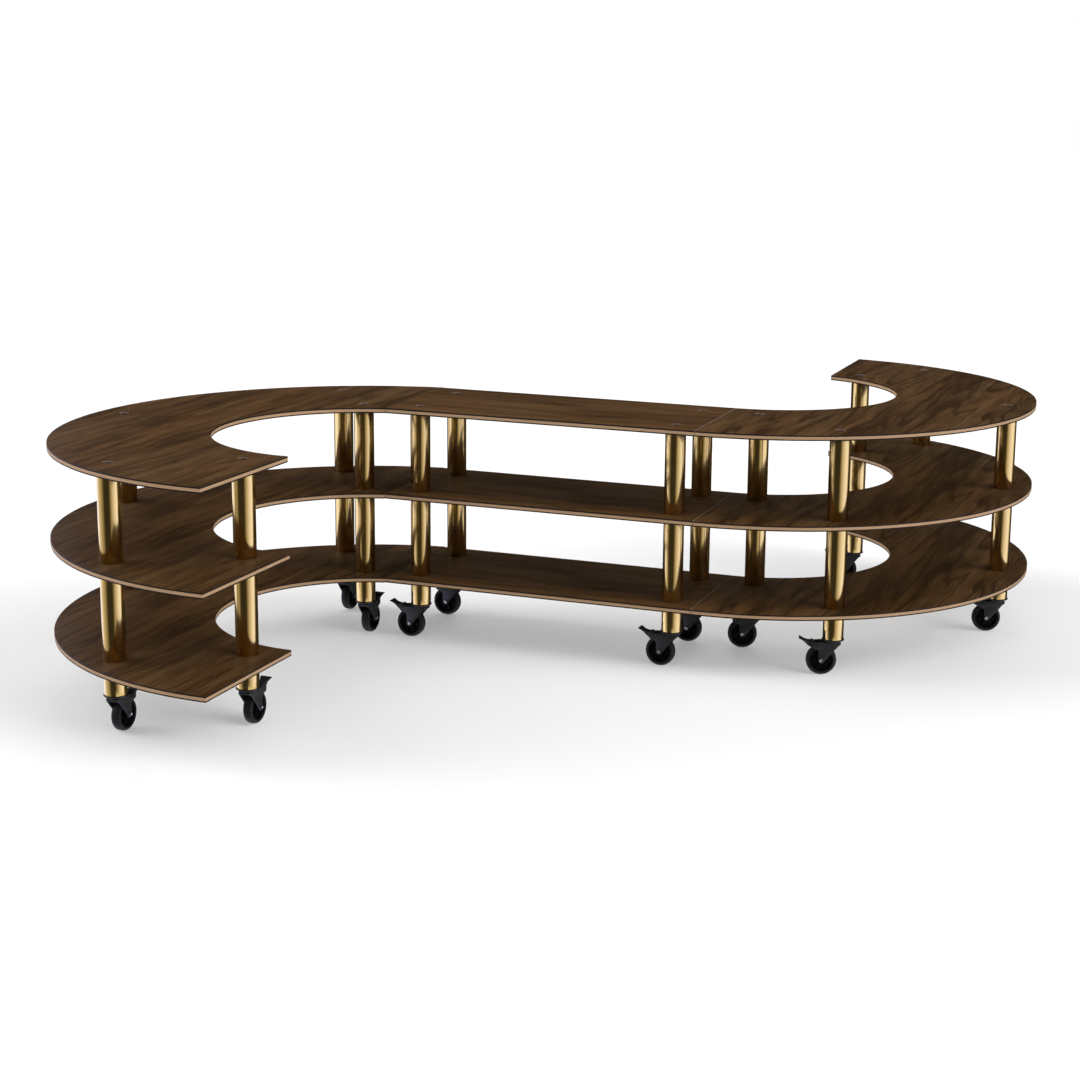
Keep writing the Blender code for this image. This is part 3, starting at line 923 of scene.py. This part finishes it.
    def add_disc(self, bm, place, radius, depth, side):
        edge, sunk = 0.0007, -0.0005
        profile = [(0, depth), (radius - edge, depth), (radius, depth - edge)]
        profile += [(radius, sunk), (0, sunk)]
        disc = laid_along_y(turned(profile, 28))
        if side > 0:
            turn_all(disc, pi, "Z")
        shift_all(disc, place)
        add_shape(bm, disc, "disc")

    def axle_bolt(self, look, axle):
        """A socket head and a nut, each on a washer, and the shank between them."""
        face, shank = look.fork_half + RING_DEPTH, 0.004
        rim, under = 0.0067, 0.0009
        hex_radius, hex_depth, sunk = 0.006, 0.003, 0.0001
        middle = Matrix.Translation((0, 0, under + hex_depth / 2 - sunk))
        profile = [(0, face), (shank, face), (shank, -face), (0, -face)]
        bm = laid_along_y(turned(profile, 24))
        for side in (-1, 1):
            washer = [(shank, 0), (rim, 0), (rim, under), (shank, under)]
            self.add_end(bm, turned(washer, 32), side * face, side)
            hexagon = bmesh.new()
            add_prism(hexagon, 6, hex_radius, hex_depth, middle)
            outer = [end for end in hexagon.faces if end.normal.z > 0.9]
            bmesh.ops.inset_individual(hexagon, faces=outer, thickness=0.0024, depth=-0.0014)
            bevel(hexagon, steep_edges(hexagon, 40), 0.0003)
            self.add_end(bm, hexagon, side * face, side)
        shift_all(bm, axle)
        return closed_mesh(bm, "axle_bolt")

    def add_end(self, bm, end, place, side):
        turn_all(end, pi / 2 * -side, "X")
        shift_all(end, (0, place, 0))
        add_shape(bm, end, "bolt_end")


class STATION_OT_wheels(bpy.types.Operator):
    """Makes the castors' tyres and ribbed hubs"""

    bl_idname = "station.wheels"
    bl_label = "Castor wheels"

    def execute(self, context):
        look = context.scene.station_castors
        rubber, plastic = tyre_finish(look), hub_finish(look)
        spots = all_spots()
        low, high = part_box(f"{spots[0].label}_wheel")
        radius = (high.z - low.z) / 2
        half = min(high.x - low.x, high.y - low.y) / 2
        tyre, hub = self.tyre(radius, half), self.hub(radius, half)
        for spot in spots:
            node = f"{spot.label}_wheel"
            here = Matrix.Translation(spot.axle) @ Matrix.Rotation(spot.heading, 4, "Z")
            add_copy(f"{spot.label}_tyre", tyre, here, rubber, node, node)
            add_copy(f"{spot.label}_hub", hub, here, plastic, node, node)
        return {"FINISHED"}

    def tyre(self, radius, half):
        """A well rounded tread between two flat side bands."""
        band, fullness = 0.0105, 0.8
        inner = radius - 0.0135
        upper = [(inner, half - 0.0035), (inner + 0.0008, half - 0.0012), (inner + 0.002, half)]
        for lean in (radians(90 - 10 * step) for step in range(1, 9)):
            out = radius - band + band * cos(lean) ** fullness
            upper.append((out, half * sin(lean) ** fullness))
        profile = upper + [(radius, 0)] + mirrored(upper)
        return closed_mesh(laid_along_y(turned(profile, 80)), "tyre")

    def hub(self, radius, half):
        """A dished web between a rim and a boss, with round pockets and ribs between them."""
        rim, web_half = radius - 0.0132, 0.0042
        upper = [(0.0045, half - 0.001), (0.0100, half - 0.001), (0.0112, half - 0.003)]
        upper += [(0.0140, web_half), (rim - 0.0065, web_half), (rim - 0.0030, half - 0.0055)]
        upper += [(rim - 0.0020, half - 0.0040), (rim, half - 0.0040)]
        web = closed_mesh(turned(upper + mirrored(upper), 60), "web")
        bm = bmesh.new()
        bm.from_mesh(cut(web, self.pockets(rim, web_half)))
        rib_width, rib_setback, rib_start = 0.0032, 0.013, 0.009
        for index in range(HUB_RIBS):
            rib = bmesh.new()
            bmesh.ops.create_cube(rib, size=1)
            size = (rim - rib_setback, rib_width, 2 * half - rib_setback)
            bmesh.ops.scale(rib, verts=rib.verts, vec=size)
            bevel(rib, rib.edges[:], 0.0008)
            shift_all(rib, ((rim + rib_start) / 2, 0, 0))
            turn_all(rib, index * 2 * pi / HUB_RIBS, "Z")
            add_shape(bm, rib, "rib")
        return closed_mesh(laid_along_y(bm), "hub")

    def pockets(self, rim, web_half):
        radius, ring = 0.0058, rim * 0.61
        bm = bmesh.new()
        for index in range(2 * HUB_RIBS):
            round_hub = Matrix.Rotation((index // 2 + 0.5) * 2 * pi / HUB_RIBS, 4, "Z")
            face = web_half if index % 2 else -web_half
            add_prism(bm, 24, radius, web_half, round_hub @ Matrix.Translation((ring, 0, face)))
        return closed_mesh(bm, "pockets")


class STATION_OT_pedals(bpy.types.Operator):
    """Makes the brake pedals"""

    bl_idname = "station.pedals"
    bl_label = "Brake pedals"

    def execute(self, context):
        look = context.scene.station_castors
        coat = bpy.data.materials["black_pressed_steel"]
        braked = [spot for spot in all_spots() if spot.braked]
        pivot = Vector((braked[0].trail + look.pivot_behind, 0, look.pivot_height))
        shape = self.pedal(pivot)
        for spot in braked:
            name = f"{spot.label}_pedal_lever"
            node, body = f"{spot.label}_pedal", f"{spot.label}_brake"
            add_copy(name, shape, spot.turned(), coat, body, node)
        return {"FINISHED"}

    def pedal(self, pivot):
        """Drawn out from its root in steps of reach, underside, top and half width."""
        steps = [
            (-0.0080, -0.0100, 0.0085, 0.0160),
            (0.0000, -0.0115, 0.0095, 0.0165),
            (0.0032, -0.0120, 0.0140, 0.0165),
            (0.0060, -0.0120, 0.0140, 0.0165),
            (0.0095, -0.0110, 0.0105, 0.0160),
            (0.0200, -0.0055, 0.0112, 0.0140),
            (0.0340, 0.0085, 0.0148, 0.0150),
            (0.0440, 0.0165, 0.0200, 0.0195),
            (0.0535, 0.0200, 0.0228, 0.0212),
        ]
        bm = bmesh.new()
        reach, under, top, half = steps[0]
        ends = [(reach, -half, under), (reach, half, under), (reach, half, top), (reach, -half, top)]
        region = [bm.faces.new([bm.verts.new(end) for end in ends])]
        for reach, under, top, half in steps[1:]:
            made = bmesh.ops.extrude_face_region(bm, geom=region)["geom"]
            bmesh.ops.delete(bm, geom=region, context="FACES_ONLY")
            region = only(BMFace, made)
            middle = region[0].calc_center_median().z
            for vert in region[0].verts:
                vert.co = (reach, copysign(half, vert.co.y), top if vert.co.z > middle else under)
        bmesh.ops.holes_fill(bm, edges=[e for e in bm.edges if e.is_boundary], sides=4)
        bmesh.ops.recalc_face_normals(bm, faces=bm.faces)
        bevel(bm, steep_edges(bm, 60), 0.0011, 3)
        shift_all(bm, pivot)
        return closed_mesh(bm, "pedal_lever")


class STATION_OT_studio(bpy.types.Operator):
    """Makes the floor, the light and the camera"""

    bl_idname = "station.studio"
    bl_label = "Studio"

    def execute(self, context):
        look = context.scene.station_studio
        self.floor(look)
        self.sky(context.scene, look)
        for setting, (name, towards, spread) in LAMPS.items():
            self.lamp(name, getattr(look, setting), towards, spread)
        self.surround(look)
        self.camera(context.scene, look)
        context.scene.view_settings.view_transform = "Standard"
        return {"FINISHED"}

    def floor(self, look):
        """White to the camera apart from the shadow, and darker to the light that it throws back."""
        paint = new_finish("studio_floor")
        matt = paint.add("BsdfDiffuse", {"Color": rgba(look.floor)})
        white = paint.add("Emission", {"Strength": 1.0})
        lifted = paint.add("MixShader", {0: look.floor_lift, 1: matt, 2: white})
        bounce = paint.add("BsdfDiffuse", {"Color": rgba(look.floor_bounce)})
        both = paint.add("MixShader", {0: paint.shown(), 1: bounce, 2: lifted})
        paint.add("OutputMaterial", {"Surface": both})
        bm = bmesh.new()
        bmesh.ops.create_grid(bm, x_segments=4, y_segments=4, size=FLOOR_REACH)
        obj = new_object("studio_floor", closed_mesh(bm, "studio_floor", [paint.owner]))
        obj.visible_glossy = False

    def surround(self, look):
        """A screen that only reflections show, bright at both sides up to a height."""
        paint = new_finish("studio_surround")
        level = paint.add("Attribute", {}, {"attribute_name": "level"}, "Fac")
        cool = paint.between(level, WARM_BELOW, COOL_ABOVE)
        tint = paint.blend(cool, rgba(look.screen_warm), rgba(look.screen_cool))
        glow = paint.add("Emission", {"Color": paint.blend(1.0, tint, level, "MULTIPLY")})
        paint.add("OutputMaterial", {"Surface": glow})
        bm = bmesh.new()
        levels = bm.verts.layers.float.new("level")
        feet = [bm.verts.new((x, y, SCREEN_FOOT)) for x, y, _ in SCREEN_PLAN]
        for vert, (_, _, shade) in zip(feet, SCREEN_PLAN):
            vert[levels] = getattr(look, f"screen_{shade}")
        lines = [bm.edges.new(pair) for pair in zip(feet, feet[1:] + feet[:1])]
        for step, rise in enumerate((SCREEN_BRIGHT_TO - SCREEN_FOOT, SCREEN_FADE, SCREEN_RISE)):
            made = bmesh.ops.extrude_edge_only(bm, edges=lines)["geom"]
            tops = only(BMVert, made)
            lines = [line for line in only(BMEdge, made) if set(line.verts) <= set(tops)]
            bmesh.ops.translate(bm, verts=tops, vec=(0, 0, rise))
            if step > 0:
                for vert in tops:
                    vert[levels] = look.screen_dark
        obj = new_object("studio_surround", closed_mesh(bm, "studio_surround", [paint.owner]))
        for kind in ("camera", "diffuse", "shadow", "transmission"):
            setattr(obj, f"visible_{kind}", False)

    def sky(self, scene, look):
        world = bpy.data.worlds.new("studio_sky")
        scene.world = world
        paint = Paint(world)
        dim = paint.add("Background", {"Color": WHITE, "Strength": look.sky})
        white = paint.add("Background", {"Color": WHITE, "Strength": 1.0})
        both = paint.add("MixShader", {0: paint.shown(), 1: dim, 2: white})
        paint.add("OutputWorld", {"Surface": both})

    def lamp(self, name, strength, towards, spread):
        lamp = bpy.data.lights.new(name, "SUN")
        lamp.energy = strength
        lamp.angle = radians(spread)
        obj = new_object(name, lamp)
        obj.visible_glossy = False
        obj.rotation_euler = Vector(towards).to_track_quat("-Z", "Y").to_euler()

    def camera(self, scene, look):
        data = bpy.data.cameras.new("camera")
        data.sensor_width = SENSOR_WIDTH
        data.lens = look.lens
        data.shift_x, data.shift_y = look.shift
        data.clip_end = CLIP_END
        obj = new_object("camera", data)
        turn, dip, roll = look.camera_turn, look.camera_dip, look.camera_roll
        ahead = Vector((cos(dip) * sin(turn), cos(dip) * cos(turn), -sin(dip)))
        level = Vector((cos(turn), -sin(turn), 0))
        upward = level.cross(ahead)
        right = level * cos(roll) + upward * sin(roll)
        up = upward * cos(roll) - level * sin(roll)
        axes = Matrix((right, up, -ahead)).transposed().to_4x4()
        obj.matrix_world = Matrix.Translation(look.camera_place) @ axes
        scene.camera = obj


class STATION_PT_builder(bpy.types.Panel):
    """Lists the steps that build the station"""

    bl_idname = "STATION_PT_builder"
    bl_label = "Buffet serving station"
    bl_space_type = "VIEW_3D"
    bl_region_type = "UI"
    bl_category = "Buffet"

    def draw(self, context):
        for operator in OPERATORS:
            self.layout.operator(operator.bl_idname)


SETTINGS = {
    "station_boards": BoardSettings,
    "station_columns": ColumnSettings,
    "station_castors": CastorSettings,
    "station_studio": StudioSettings,
}
OPERATORS = (
    STATION_OT_boards,
    STATION_OT_columns,
    STATION_OT_bolt_heads,
    STATION_OT_forks,
    STATION_OT_wheels,
    STATION_OT_pedals,
    STATION_OT_studio,
)
CLASSES = (*SETTINGS.values(), *OPERATORS, STATION_PT_builder)


def register():
    for cls in CLASSES:
        bpy.utils.register_class(cls)
    for name, cls in SETTINGS.items():
        setattr(bpy.types.Scene, name, bpy.props.PointerProperty(type=cls))


def unregister():
    for name in SETTINGS:
        delattr(bpy.types.Scene, name)
    for cls in reversed(CLASSES):
        bpy.utils.unregister_class(cls)


def main():
    register()
    bpy.ops.station.boards()
    bpy.ops.station.columns()
    bpy.ops.station.bolt_heads()
    bpy.ops.station.forks()
    bpy.ops.station.wheels()
    bpy.ops.station.pedals()
    bpy.ops.station.studio()


if __name__ == "__main__":
    main()
